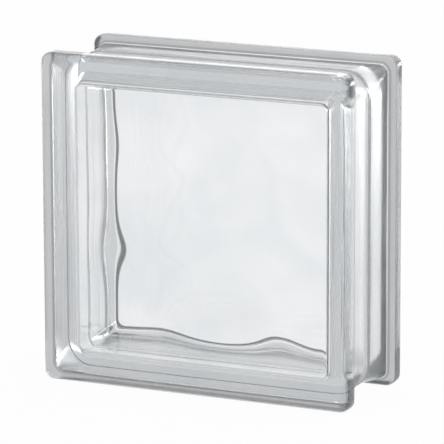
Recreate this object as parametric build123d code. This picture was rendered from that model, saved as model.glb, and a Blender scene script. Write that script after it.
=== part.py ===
# A hollow glass building block with wavy panes: two pressed halves fused into one piece.
# Millimetres. X runs across the face, Y from the front face to the rear, Z up.
# The origin is under the middle of the block, on the surface that it stands on.

import math
import os

from build123d import *

# Overall size of the block
block_width = 190.0
block_height = 190.0
block_depth = 80.0

# Flange: the wide edge of each face, which holds the mortar in the joint
flange_depth = 12.5
flange_corner_radius = 6.0
face_edge_radius = 5.0
flange_back_radius = 2.0

# Channel: the recess for the mortar, between the two flanges on all four sides
channel_depth = 4.6
channel_corner_radius = 14.5
channel_foot_radius = 2.0

# Seam: the low bead where the two halves are fused
seam_height = 0.9
seam_width = 3.2
seam_bevel = 0.6

# Pane and side wall of one half. The wall is measured at the seam, and gets thicker
# towards the pane, because its inside slopes by wall_draft degrees.
pane_thickness = 9.0
wall_thickness = 8.4
wall_draft = 6.0
hollow_corner_radius = 6.0
pane_edge_radius = 4.0

# Wave pressed into the inner face of each pane: a shallow dish with soft billows in it.
# It dies out at its edge, wave_margin short of the rounding along the walls.
dish_depth = 0.5
wave_height = 1.5
wave_spread = 11.0
wave_margin = 1.5
# Power of the fade to that edge: the higher, the nearer to the edge the wave stays full
fade_power = 8
# Spacing of the points that the wavy face is drawn through, and how closely it keeps to them
wave_step = 6.0
wave_tolerance = 0.00001
# One billow a row: its place across and up from the middle of the pane, as shares of
# half the wave's width and height, then its height as a share of wave_height
billow_shares = [
    (-0.80, 0.60, 0.25),
    (-0.47, 0.62, -0.30),
    (-0.10, 0.72, 0.40),
    (0.35, 0.60, -0.45),
    (0.72, 0.66, 0.45),
    (-0.15, 0.30, -0.40),
    (0.22, 0.22, 0.50),
    (0.66, 0.16, -0.40),
    (-0.75, -0.21, 1.00),
    (-0.45, -0.21, -1.00),
    (-0.10, -0.18, 0.35),
    (0.35, -0.20, -0.40),
    (-0.27, -0.69, -0.45),
    (-0.05, -0.69, 0.55),
    (0.19, -0.69, 0.90),
    (0.43, -0.67, 0.50),
    (0.64, -0.64, -0.95),
    (0.83, -0.69, -0.45),
]

# How far a cutting solid runs past what it cuts
overrun = 4.0

half_depth = block_depth / 2
flange_back_y = -half_depth + flange_depth
web_width = block_width - 2 * channel_depth
web_height = block_height - 2 * channel_depth
hollow_width = web_width - 2 * wall_thickness
hollow_height = web_height - 2 * wall_thickness
hollow_depth = half_depth - pane_thickness
wall_taper = hollow_depth * math.tan(math.radians(wall_draft))
floor_inset = wall_taper + pane_edge_radius + wave_margin
wavy_width = hollow_width - 2 * floor_inset
wavy_height = hollow_height - 2 * floor_inset
wave_reach = dish_depth + 2 * wave_height + overrun


def upright_plane(y):
    """A plane across the block at depth y, centred on the face and facing the rear."""
    return Plane(origin=(0, y, block_height / 2), x_dir=(-1, 0, 0), z_dir=(0, 1, 0))


def rounded_slab(width, height, corner_radius, near_y, far_y):
    """A slab between two depths, a rounded rectangle when seen from the front."""
    outline = upright_plane(near_y) * RectangleRounded(width, height, corner_radius)
    return extrude(outline, far_y - near_y)


def flange():
    """The face slab, with its full face edge and its smaller back edge rounded."""
    slab = rounded_slab(block_width, block_height, flange_corner_radius, -half_depth, flange_back_y)
    slab = fillet(slab.faces().sort_by(Axis.Y)[0].edges(), face_edge_radius)
    return fillet(slab.faces().sort_by(Axis.Y)[-1].edges(), flange_back_radius)


def seam_lip():
    """Half of the seam bead, still solid across the block."""
    lip = rounded_slab(
        web_width + 2 * seam_height,
        web_height + 2 * seam_height,
        channel_corner_radius + seam_height,
        -seam_width / 2,
        0,
    )
    return chamfer(lip.faces().sort_by(Axis.Y)[0].edges(), seam_bevel)


def outer_half():
    """Flange, web and seam lip of one half, still solid inside."""
    face_slab = flange()
    web = rounded_slab(web_width, web_height, channel_corner_radius, flange_back_y - flange_depth / 2, 0)
    body = face_slab + web
    body = fillet(new_edges(face_slab, web, combined=body), channel_foot_radius)
    return body + seam_lip()


def fade(share):
    """Share of the wave that is left at a share of the way from the middle to its edge."""
    return (1 - share**fade_power) ** 2


def wave(across, up):
    """Rise of the pane's inner face over its edge, at shares of the way to the wave's edge."""
    total = -dish_depth
    for billow_across, billow_up, share in billow_shares:
        dx = (across - billow_across) * wavy_width / 2
        dz = (up - billow_up) * wavy_height / 2
        total += share * wave_height * math.exp(-(dx * dx + dz * dz) / (2 * wave_spread * wave_spread))
    return total * fade(across) * fade(up)


def wavy_face():
    """The wavy part of the pane's inner face, level along its edges."""
    columns = round(wavy_width / wave_step)
    rows = round(wavy_height / wave_step)
    grid = []
    for i in range(columns + 1):
        across = 2 * i / columns - 1
        line = []
        for j in range(rows + 1):
            up = 2 * j / rows - 1
            x = across * wavy_width / 2
            z = block_height / 2 + up * wavy_height / 2
            line.append(Vector(x, -hollow_depth + wave(across, up), z))
        grid.append(line)
    return Face.make_surface_from_array_of_points(grid, tol=wave_tolerance)


def hollow_half():
    """The hollow of one half: tapered sides with rounded edges, round a core with a wavy floor."""
    sides = Wedge(
        hollow_width,
        hollow_depth,
        hollow_height,
        wall_taper,
        wall_taper,
        hollow_width - wall_taper,
        hollow_height - wall_taper,
        rotation=(0, 0, 180),
    )
    sides = Pos(0, -hollow_depth / 2, block_height / 2) * sides
    level_edges = sides.edges().filter_by(Axis.X) + sides.edges().filter_by(Axis.Z)
    sides = fillet(sides.edges() - level_edges, hollow_corner_radius)
    sides = fillet(sides.faces().sort_by(Axis.Y)[0].edges(), pane_edge_radius)
    core_outline = upright_plane(0) * Rectangle(wavy_width, wavy_height)
    core = extrude(core_outline, -(hollow_depth + wave_reach))
    above_wave = Solid.extrude(wavy_face(), Vector(0, hollow_depth + wave_reach, 0))
    return (sides - core) + (core & above_wave)


def both_halves(half):
    """A half and its twin, turned to face it from the rear, fused at the seam."""
    return half + half.rotate(Axis.Z, 180)


def glass_block():
    """The outside of the two fused halves, less the hollow sealed between them."""
    return both_halves(outer_half()) - both_halves(hollow_half())


os.makedirs("parts", exist_ok=True)
export_step(glass_block(), "parts/glass_block.step")
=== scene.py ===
# Clear hollow glass block with wavy panes, standing upright on a pale floor
import math

import bpy
import bmesh
from mathutils import Matrix, Vector


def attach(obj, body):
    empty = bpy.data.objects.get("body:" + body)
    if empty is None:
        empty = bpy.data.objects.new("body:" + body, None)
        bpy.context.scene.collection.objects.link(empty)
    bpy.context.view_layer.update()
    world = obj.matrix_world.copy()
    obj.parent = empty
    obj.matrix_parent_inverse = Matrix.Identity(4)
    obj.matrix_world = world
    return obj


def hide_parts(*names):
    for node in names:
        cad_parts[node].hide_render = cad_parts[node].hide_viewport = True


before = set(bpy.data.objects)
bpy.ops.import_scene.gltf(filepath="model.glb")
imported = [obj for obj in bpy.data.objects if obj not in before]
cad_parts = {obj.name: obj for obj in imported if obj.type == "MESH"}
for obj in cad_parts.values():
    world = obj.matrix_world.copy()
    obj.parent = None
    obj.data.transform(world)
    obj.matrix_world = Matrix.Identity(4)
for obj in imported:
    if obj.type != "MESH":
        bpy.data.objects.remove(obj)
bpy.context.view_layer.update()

mm = 0.001  # the block is written in millimetres and made in metres

# lengths in millimetres, the draft in degrees; steps and rings are counts
block = {
    "width": 190.0,
    "height": 190.0,
    "depth": 80.0,
    "flangeDepth": 12.5,
    "flangeCorner": 6.0,
    "faceEdge": 5.0,
    "faceMargin": 0.5,       # flat ring just inside the rounded face edge
    "flangeBack": 2.0,
    "channelDepth": 4.6,
    "channelFoot": 2.0,
    "footCorner": 5.0,       # corner of the web where it meets a flange
    "seamCorner": 15.0,      # and where the two halves are fused
    "seamHeight": 0.9,
    "seamWidth": 3.2,
    "seamEdge": 0.6,
    "paneThickness": 9.0,
    "wallThickness": 8.4,
    "wallDraft": 6.0,
    "hollowCorner": 6.0,
    "hollowEdge": 4.0,
    "plungerShift": 3.0,     # how far the pressing of the hollow stands off centre at the pane
    "dishDepth": 0.5,
    "waveMargin": 1.5,
    "waveHeight": 1.5,
    "waveSpread": 11.0,
    "fadePower": 8,
    "weldGap": 0.001,        # points of the two halves closer than this are joined
    "sideSteps": 48,
    "cornerSteps": 16,
    "edgeSteps": 12,
    "smallSteps": 6,
    "seamSteps": 4,
    "foldSteps": 10,
    "floorRings": 50,
    "webShares": (0.02, 0.2, 0.4, 0.6, 0.8, 0.98, 1.0),  # rings of the web, from the foot to the seam
    "wallShares": (0.0, 0.05, 0.35, 0.65, 0.95),         # rings of the wall, from the seam to the fold
    "firstShadedEdgeRing": 7,       # first ring of the face edge with painted shade
    "footRings": 4,          # rings of the channel foot before the web begins
    "foldRings": (3, 4, 5),  # rings of the fold between wall and pane, darkened with painted shade
}

# billows pressed into a pane: across, up (shares of the way to the wave's edge), share of waveHeight
billows = [
    (-0.80, 0.60, 0.25),
    (-0.47, 0.62, -0.30),
    (-0.10, 0.72, 0.40),
    (0.35, 0.60, -0.45),
    (0.72, 0.66, 0.45),
    (-0.15, 0.30, -0.40),
    (0.22, 0.22, 0.50),
    (0.66, 0.16, -0.40),
    (-0.75, -0.21, 0.72),
    (-0.45, -0.21, -0.72),
    (-0.10, -0.18, 0.35),
    (0.35, -0.20, -0.40),
    (-0.27, -0.69, -0.45),
    (-0.05, -0.69, 0.55),
    (0.19, -0.69, 0.90),
    (0.43, -0.67, 0.50),
    (0.64, -0.64, -0.95),
    (0.83, -0.69, -0.45),
]

# finish of each zone: share of the pressed roughness, share of the painted shade, a dark colour that
# stands in for dark refraction lines and shade in crevices
roughnessAndPaintedShade = {
    "polished": (0.0, 0.0),
    "faceEdge": (0.0, 0.46),
    "strip": (0.7, 0.3),
    "rim": (0.7, 0.64),
    "foot": (0.7, 0.85),
    "web": (0.6, 0.0),
    "seam": (0.4, 0.75),
    "wall": (0.08, 0.0),
    # the fold is polished glass; its dark line is painted shade
    "fold": (0.0, 1.0),
}


def outline(halfWidth, halfHeight, corner):
    # rounded rectangle seen from the front, counter-clockwise from the middle of the lower right corner
    points = []
    halfArc = block["cornerSteps"] // 2
    cornerX, cornerZ = halfWidth - corner, halfHeight - corner
    for quarter in range(4):
        turn = math.radians(90 * quarter)
        sideX, sideZ = (cornerX, cornerZ) if quarter % 2 == 0 else (cornerZ, cornerX)
        local = []
        for step in range(halfArc):
            a = math.radians(45 * (step / halfArc - 1))
            local.append((sideX + corner * math.cos(a), -sideZ + corner * math.sin(a)))
        for step in range(block["sideSteps"]):
            local.append((sideX + corner, -sideZ + 2 * sideZ * step / block["sideSteps"]))
        for step in range(halfArc):
            a = math.radians(45 * step / halfArc)
            local.append((sideX + corner * math.cos(a), sideZ + corner * math.sin(a)))
        cosTurn, sinTurn = math.cos(turn), math.sin(turn)
        points += [(x * cosTurn - z * sinTurn, x * sinTurn + z * cosTurn) for x, z in local]
    return points


def arcStops(count, start=0.0):
    # angles from start to a right angle
    return [start + (math.pi / 2 - start) * i / count for i in range(count + 1)]


def outerStations():
    # (half width, half height, corner radius, y, finish) from the front face to the seam
    b = block
    halfW, halfH, front = b["width"] / 2, b["height"] / 2, -b["depth"] / 2
    back = front + b["flangeDepth"]
    webW, webH = halfW - b["channelDepth"], halfH - b["channelDepth"]
    flat = b["faceEdge"] + b["faceMargin"]
    rows = [(halfW - flat, halfH - flat, b["flangeCorner"] - b["faceEdge"], front, "polished")]
    for i, a in enumerate(arcStops(b["edgeSteps"])):
        inset = b["faceEdge"] * (1 - math.sin(a))
        y = front + b["faceEdge"] * (1 - math.cos(a))
        finish = "faceEdge" if i >= b["firstShadedEdgeRing"] else "polished"
        rows.append((halfW - inset, halfH - inset, b["flangeCorner"] - inset, y, finish))
    for i, a in enumerate(arcStops(b["smallSteps"])):
        inset = b["flangeBack"] * (1 - math.cos(a))
        y = back - b["flangeBack"] * (1 - math.sin(a))
        rows.append((halfW - inset, halfH - inset, b["flangeCorner"] - inset, y, "rim" if i else "strip"))
    for i, a in enumerate(arcStops(b["smallSteps"])):
        outset = b["channelFoot"] * (1 - math.sin(a))
        y = back + b["channelFoot"] * (1 - math.cos(a))
        finish = "web"
        if i < b["footRings"]:
            finish = "foot" if i else "rim"
        rows.append((webW + outset, webH + outset, b["footCorner"] + outset, y, finish))
    # the web's corners open out from the flange to the seam
    webStart, webEnd = back + b["channelFoot"], -b["seamWidth"] / 2
    for share in b["webShares"]:
        corner = b["footCorner"] + share * (b["seamCorner"] - b["footCorner"])
        rows.append((webW, webH, corner, webStart + share * (webEnd - webStart), "web"))
    rise = b["seamHeight"] - b["seamEdge"]
    for a in arcStops(b["seamSteps"]):
        outset = rise + b["seamEdge"] * math.sin(a)
        y = webEnd + b["seamEdge"] * (1 - math.cos(a))
        rows.append((webW + outset, webH + outset, b["seamCorner"] + outset, y, "seam"))
    outset = b["seamHeight"]
    rows.append((webW + outset, webH + outset, b["seamCorner"] + outset, 0, "seam"))
    return rows


def fade(share):
    return (1 - share ** block["fadePower"]) ** 2 if abs(share) < 1 else 0.0


def wave(x, z, halfWidth, halfHeight):
    # rise of the pane's inner face over its edge
    total = -block["dishDepth"]
    for across, up, share in billows:
        distance = (x - across * halfWidth) ** 2 + (z - up * halfHeight) ** 2
        total += share * block["waveHeight"] * math.exp(-distance / (2 * block["waveSpread"] ** 2))
    return total * fade(x / halfWidth) * fade(z / halfHeight)


def hollowRings():
    # (points, depths, finish) of each ring of a hollow from the seam to the pane, then the pane's middle
    b = block
    hollowW = b["width"] / 2 - b["channelDepth"] - b["wallThickness"]
    hollowH = b["height"] / 2 - b["channelDepth"] - b["wallThickness"]
    floorY = b["paneThickness"] - b["depth"] / 2
    draft = math.radians(b["wallDraft"])
    taper = math.tan(draft)
    radius = b["hollowEdge"]
    # the rounding's middle lies one radius from the floor and from the sloping wall
    arcY = floorY + radius
    arcInset = taper * -arcY + radius / math.cos(draft)
    wallEnd = arcY - radius * math.sin(draft)

    def slid(points, y):
        # the plunger stands a little off centre
        return [(x + b["plungerShift"] * y / floorY, z) for x, z in points]

    rings = []
    for share in b["wallShares"]:
        inset, y = taper * -wallEnd * share, wallEnd * share
        points = outline(hollowW - inset, hollowH - inset, b["hollowCorner"])
        rings.append((slid(points, y), [y] * len(points), "wall"))
    for i, a in enumerate(arcStops(b["foldSteps"], draft)):
        inset, y = arcInset - radius * math.cos(a), arcY - radius * math.sin(a)
        corner = b["hollowCorner"] - radius * (math.cos(draft) - math.cos(a))
        points = outline(hollowW - inset, hollowH - inset, corner)
        finish = "fold" if i in b["foldRings"] else "polished"
        rings.append((slid(points, y), [y] * len(points), finish))
    # the wavy floor shrinks ring by ring to its middle
    floorW, floorH = hollowW - arcInset, hollowH - arcInset
    floorCorner = b["hollowCorner"] - radius * math.cos(draft)
    waveW, waveH = floorW - b["waveMargin"], floorH - b["waveMargin"]
    for k in range(1, b["floorRings"]):
        s = 1 - k / b["floorRings"]
        points = outline(floorW * s, floorH * s, floorCorner * s)
        depths = [floorY + wave(x, z, waveW, waveH) for x, z in points]
        rings.append((slid(points, floorY), depths, "polished"))
    middle = (b["plungerShift"], floorY + wave(0, 0, waveW, waveH), 0)
    return rings, middle


def addBlock():
    bm = bmesh.new()
    pressed = bm.verts.layers.float.new("pressed")
    # share of painted shade at each point, a dark colour standing in for shade
    paintedShade = bm.verts.layers.float.new("paintedShade")

    def addVert(x, y, z, finish):
        vert = bm.verts.new((x * mm, y * mm, (block["height"] / 2 + z) * mm))
        vert[pressed], vert[paintedShade] = roughnessAndPaintedShade[finish]
        return vert

    def addRing(points, depths, finish):
        return [addVert(x, y, z, finish) for (x, z), y in zip(points, depths)]

    def addSkins(rings):
        for first, second in zip(rings, rings[1:]):
            for i in range(len(first)):
                j = (i + 1) % len(first)
                bm.faces.new((first[i], second[i], second[j], first[j])).smooth = True

    # outside of one half; every face is smooth, so that a ray that enters the glass also leaves it
    outer = []
    for halfW, halfH, corner, y, finish in outerStations():
        points = outline(halfW, halfH, corner)
        outer.append(addRing(points, [y] * len(points), finish))
    bm.faces.new(outer[0]).smooth = True
    addSkins(outer)

    # hollow of one half, closed by a fan of triangles in the middle of the pane
    rings, middle = hollowRings()
    inner = [addRing(*ring) for ring in rings]
    addSkins(inner)
    hub = addVert(*middle, "polished")
    last = inner[-1]
    for i in range(len(last)):
        bm.faces.new((hub, last[(i + 1) % len(last)], last[i])).smooth = True

    # the rear half is the same half turned about
    half = bm.verts[:] + bm.edges[:] + bm.faces[:]
    turned = bmesh.ops.duplicate(bm, geom=half)["geom"]
    turnedVerts = [item for item in turned if isinstance(item, bmesh.types.BMVert)]
    bmesh.ops.rotate(bm, verts=turnedVerts, cent=(0, 0, 0), matrix=Matrix.Rotation(math.pi, 3, "Z"))
    weldGap = block["weldGap"] * mm
    seamVerts = [vert for vert in bm.verts if abs(vert.co.y) < weldGap]
    bmesh.ops.remove_doubles(bm, verts=seamVerts, dist=weldGap)

    mesh = bpy.data.meshes.new("glassBlock")
    bm.to_mesh(mesh)
    bm.free()
    obj = bpy.data.objects.new("glassBlock", mesh)
    bpy.context.collection.objects.link(obj)
    print("block mesh", len(mesh.vertices), "vertices", len(mesh.polygons), "faces")
    return obj


# absorption is for one metre of glass; noise scales are for one metre too
glass = {
    "ior": 1.52,
    "absorbColour": (0.50, 0.53, 0.55, 1),
    "absorbDensity": 12.0,
    "pressedRoughness": 0.5,
    # dark colour of the painted shade
    "paintedShadeColour": (0.03, 0.033, 0.035, 1),
    "clearColour": (1, 1, 1, 1),
    "cloudColour": (0.93, 0.945, 0.955, 1),
    "cloudScale": 15.0,
    "cloudDetail": 2.0,
    "cloudDistortion": 0.8,
    "cloudRange": (0.36, 0.62),
    "streakScale": 280.0,
    "streakStretch": (0.06, 1.0, 0.06),
    "streakDetail": 0.5,
    "streakDepth": 0.0003,
    "streakFrom": 0.04,     # streaks lie where the pressed share is above this
    "grainScale": 1800.0,
    "grainDetail": 3.0,
    "grainRange": (0.9, 1.1),
}


def addNode(tree, kind, **values):
    # a node, with its settings and fixed inputs given by name
    node = tree.nodes.new("ShaderNode" + kind)
    for name, value in values.items():
        if hasattr(node, name):
            setattr(node, name, value)
        else:
            node.inputs[name].default_value = value
    return node


def glassMaterial():
    g = glass
    material = bpy.data.materials.new("clearGlass")
    material.use_nodes = True
    tree = material.node_tree
    link = tree.links.new
    shader = tree.nodes["Principled BSDF"]
    shader.inputs["IOR"].default_value = g["ior"]
    shader.inputs["Transmission Weight"].default_value = 1.0
    place = addNode(tree, "TexCoord").outputs["Object"]
    pressed = addNode(tree, "Attribute", attribute_name="pressed").outputs["Fac"]
    # share of painted shade at each point
    paintedShade = addNode(tree, "Attribute", attribute_name="paintedShade").outputs["Fac"]

    # soft clouds in the clear glass
    cloud = addNode(
        tree, "TexNoise", Scale=g["cloudScale"], Detail=g["cloudDetail"], Distortion=g["cloudDistortion"]
    )
    link(place, cloud.inputs["Vector"])
    cloudMask = addNode(tree, "MapRange", interpolation_type="SMOOTHSTEP")
    cloudLow, cloudHigh = g["cloudRange"]
    cloudMask.inputs["From Min"].default_value = cloudLow
    cloudMask.inputs["From Max"].default_value = cloudHigh
    link(cloud.outputs["Fac"], cloudMask.inputs["Value"])
    body = addNode(tree, "MixRGB", Color1=g["cloudColour"], Color2=g["clearColour"])
    link(cloudMask.outputs["Result"], body.inputs["Fac"])

    # painted shade: a dark colour mixed into edges, rims, foot, seam and folds, standing in for their
    # dark refraction lines and crevice shade, a little uneven
    grain = addNode(tree, "TexNoise", Scale=g["grainScale"], Detail=g["grainDetail"])
    link(place, grain.inputs["Vector"])
    uneven = addNode(tree, "MapRange")
    grainLow, grainHigh = g["grainRange"]
    uneven.inputs["To Min"].default_value = grainLow
    uneven.inputs["To Max"].default_value = grainHigh
    link(grain.outputs["Fac"], uneven.inputs["Value"])
    paintedShadeMask = addNode(tree, "Math", operation="MULTIPLY")
    link(paintedShade, paintedShadeMask.inputs[0])
    link(uneven.outputs["Result"], paintedShadeMask.inputs[1])
    colour = addNode(tree, "MixRGB", Color2=g["paintedShadeColour"])
    link(paintedShadeMask.outputs[0], colour.inputs["Fac"])
    link(body.outputs[0], colour.inputs["Color1"])
    link(colour.outputs[0], shader.inputs["Base Color"])

    # pressed surfaces are rougher than fire polished ones
    rough = addNode(tree, "Math", operation="MULTIPLY")
    rough.inputs[1].default_value = g["pressedRoughness"]
    link(pressed, rough.inputs[0])
    link(rough.outputs[0], shader.inputs["Roughness"])

    # drag marks of the mould run along the walls
    stretch = addNode(tree, "Mapping", Scale=g["streakStretch"])
    link(place, stretch.inputs["Vector"])
    streak = addNode(tree, "TexNoise", Scale=g["streakScale"], Detail=g["streakDetail"])
    link(stretch.outputs[0], streak.inputs["Vector"])
    marked = addNode(tree, "Math", operation="GREATER_THAN")
    marked.inputs[1].default_value = g["streakFrom"]
    link(pressed, marked.inputs[0])
    height = addNode(tree, "Math", operation="MULTIPLY")
    link(streak.outputs["Fac"], height.inputs[0])
    link(marked.outputs[0], height.inputs[1])
    bump = addNode(tree, "Bump", Distance=g["streakDepth"])
    link(height.outputs[0], bump.inputs["Height"])
    link(bump.outputs[0], shader.inputs["Normal"])

    # thick glass is greyer than thin glass
    absorb = addNode(tree, "VolumeAbsorption", Color=g["absorbColour"], Density=g["absorbDensity"])
    link(absorb.outputs[0], tree.nodes["Material Output"].inputs["Volume"])
    return material


glassBlock = addBlock()
glassBlock.data.materials.append(glassMaterial())
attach(glassBlock, "root")
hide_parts("glass_block")
print("glass finished")

# metres; the floor and the room are white wherever they are seen, also through the glass
studio = {
    "ambient": 0.55,
    "roomColour": (1, 1, 1, 1),
    "floorHalf": 3.0,
    "floorDrop": 0.0004,
    "floorColour": (0.6, 0.61, 0.62, 1),
    "floorRoughness": 0.9,
    "floorSpecular": 0.0,
    "floorWhite": 0.97,     # share of plain white in what is seen of the floor, the rest keeps the shadow
    "bounces": 24,          # light turns many times inside the glass
}

# metres and watts; a lamp that isn't seen through the glass still shows as gloss on it
lamps = {
    "sideStrip": {
        "place": (0.8, 1.0, 0.16), "width": 1.2, "height": 0.3, "energy": 8, "through": True,
    },
    "topSoftbox": {
        "place": (0.1, 0.1, 1.5), "width": 1.4, "height": 1.4, "energy": 15, "through": False,
    },
    "backSoftbox": {
        "place": (-0.75, 1.6, 0.6), "width": 1.0, "height": 1.0, "energy": 2, "through": False,
    },
}

middleOfBlock = Vector((0, 0, block["height"] / 2 * mm))


def seenMask(tree):
    # 1 for what the camera sees, straight or by way of the glass
    path = addNode(tree, "LightPath")
    mask = path.outputs["Is Camera Ray"]
    for name in ("Is Glossy Ray", "Is Transmission Ray"):
        either = addNode(tree, "Math", operation="MAXIMUM")
        tree.links.new(mask, either.inputs[0])
        tree.links.new(path.outputs[name], either.inputs[1])
        mask = either.outputs[0]
    return mask


def addRoom():
    world = bpy.data.worlds.new("whiteRoom")
    bpy.context.scene.world = world
    world.use_nodes = True
    tree = world.node_tree
    background = tree.nodes["Background"]
    background.inputs["Color"].default_value = studio["roomColour"]
    level = addNode(tree, "MapRange")
    level.inputs["To Min"].default_value = studio["ambient"]
    tree.links.new(seenMask(tree), level.inputs["Value"])
    tree.links.new(level.outputs["Result"], background.inputs["Strength"])


def floorMaterial():
    material = bpy.data.materials.new("paleFloor")
    material.use_nodes = True
    tree = material.node_tree
    shader = tree.nodes["Principled BSDF"]
    shader.inputs["Base Color"].default_value = studio["floorColour"]
    shader.inputs["Roughness"].default_value = studio["floorRoughness"]
    shader.inputs["Specular IOR Level"].default_value = studio["floorSpecular"]
    white = addNode(tree, "Emission")
    share = addNode(tree, "Math", operation="MULTIPLY")
    share.inputs[1].default_value = studio["floorWhite"]
    tree.links.new(seenMask(tree), share.inputs[0])
    mix = addNode(tree, "MixShader")
    tree.links.new(share.outputs[0], mix.inputs["Fac"])
    tree.links.new(shader.outputs[0], mix.inputs[1])
    tree.links.new(white.outputs[0], mix.inputs[2])
    tree.links.new(mix.outputs[0], tree.nodes["Material Output"].inputs["Surface"])
    return material


def addFloor():
    half, z = studio["floorHalf"], -studio["floorDrop"]
    corners = [(-half, -half, z), (half, -half, z), (half, half, z), (-half, half, z)]
    mesh = bpy.data.meshes.new("floor")
    mesh.from_pydata(corners, [], [(0, 1, 2, 3)])
    mesh.materials.append(floorMaterial())
    floor = bpy.data.objects.new("floor", mesh)
    bpy.context.collection.objects.link(floor)


def addLamp(name, place, width, height, energy, through):
    data = bpy.data.lights.new(name, "AREA")
    data.shape = "RECTANGLE"
    data.size = width
    data.size_y = height
    data.energy = energy
    obj = bpy.data.objects.new(name, data)
    bpy.context.collection.objects.link(obj)
    obj.location = place
    obj.rotation_euler = (middleOfBlock - obj.location).to_track_quat("-Z", "Y").to_euler()
    obj.visible_camera = False
    obj.visible_transmission = through


addRoom()
addFloor()
for name, lamp in lamps.items():
    addLamp(name, **lamp)
scene = bpy.context.scene
scene.view_settings.view_transform = "Standard"
scene.cycles.max_bounces = studio["bounces"]
scene.cycles.transmission_bounces = studio["bounces"]
scene.cycles.glossy_bounces = studio["bounces"]
print("studio ready")

# angles in degrees, distance in metres, focal length and shift in pixels of a 444 pixel image
camera = {
    "image": 444,
    "sensor": 36.0,
    "yaw": 25.446,
    "pitch": 12.356,
    "roll": -0.209,
    "distance": 2.2013,
    "focal": 3884.53,
    "shiftX": 0.37,
    "shiftY": -3.69,
}


def addCamera():
    c = camera
    data = bpy.data.cameras.new("camera")
    obj = bpy.data.objects.new("camera", data)
    bpy.context.collection.objects.link(obj)
    yaw, pitch, roll = (math.radians(c[key]) for key in ("yaw", "pitch", "roll"))
    back = Vector((math.sin(yaw) * math.cos(pitch), -math.cos(yaw) * math.cos(pitch), math.sin(pitch)))
    obj.location = middleOfBlock + back * c["distance"]
    turn = (-back).to_track_quat("-Z", "Y").to_matrix() @ Matrix.Rotation(roll, 3, "Z")
    obj.rotation_euler = turn.to_euler()
    data.sensor_width = c["sensor"]
    data.lens = c["focal"] / c["image"] * c["sensor"]
    data.shift_x = c["shiftX"] / c["image"]
    data.shift_y = c["shiftY"] / c["image"]
    bpy.context.scene.camera = obj


addCamera()
print("camera ready")
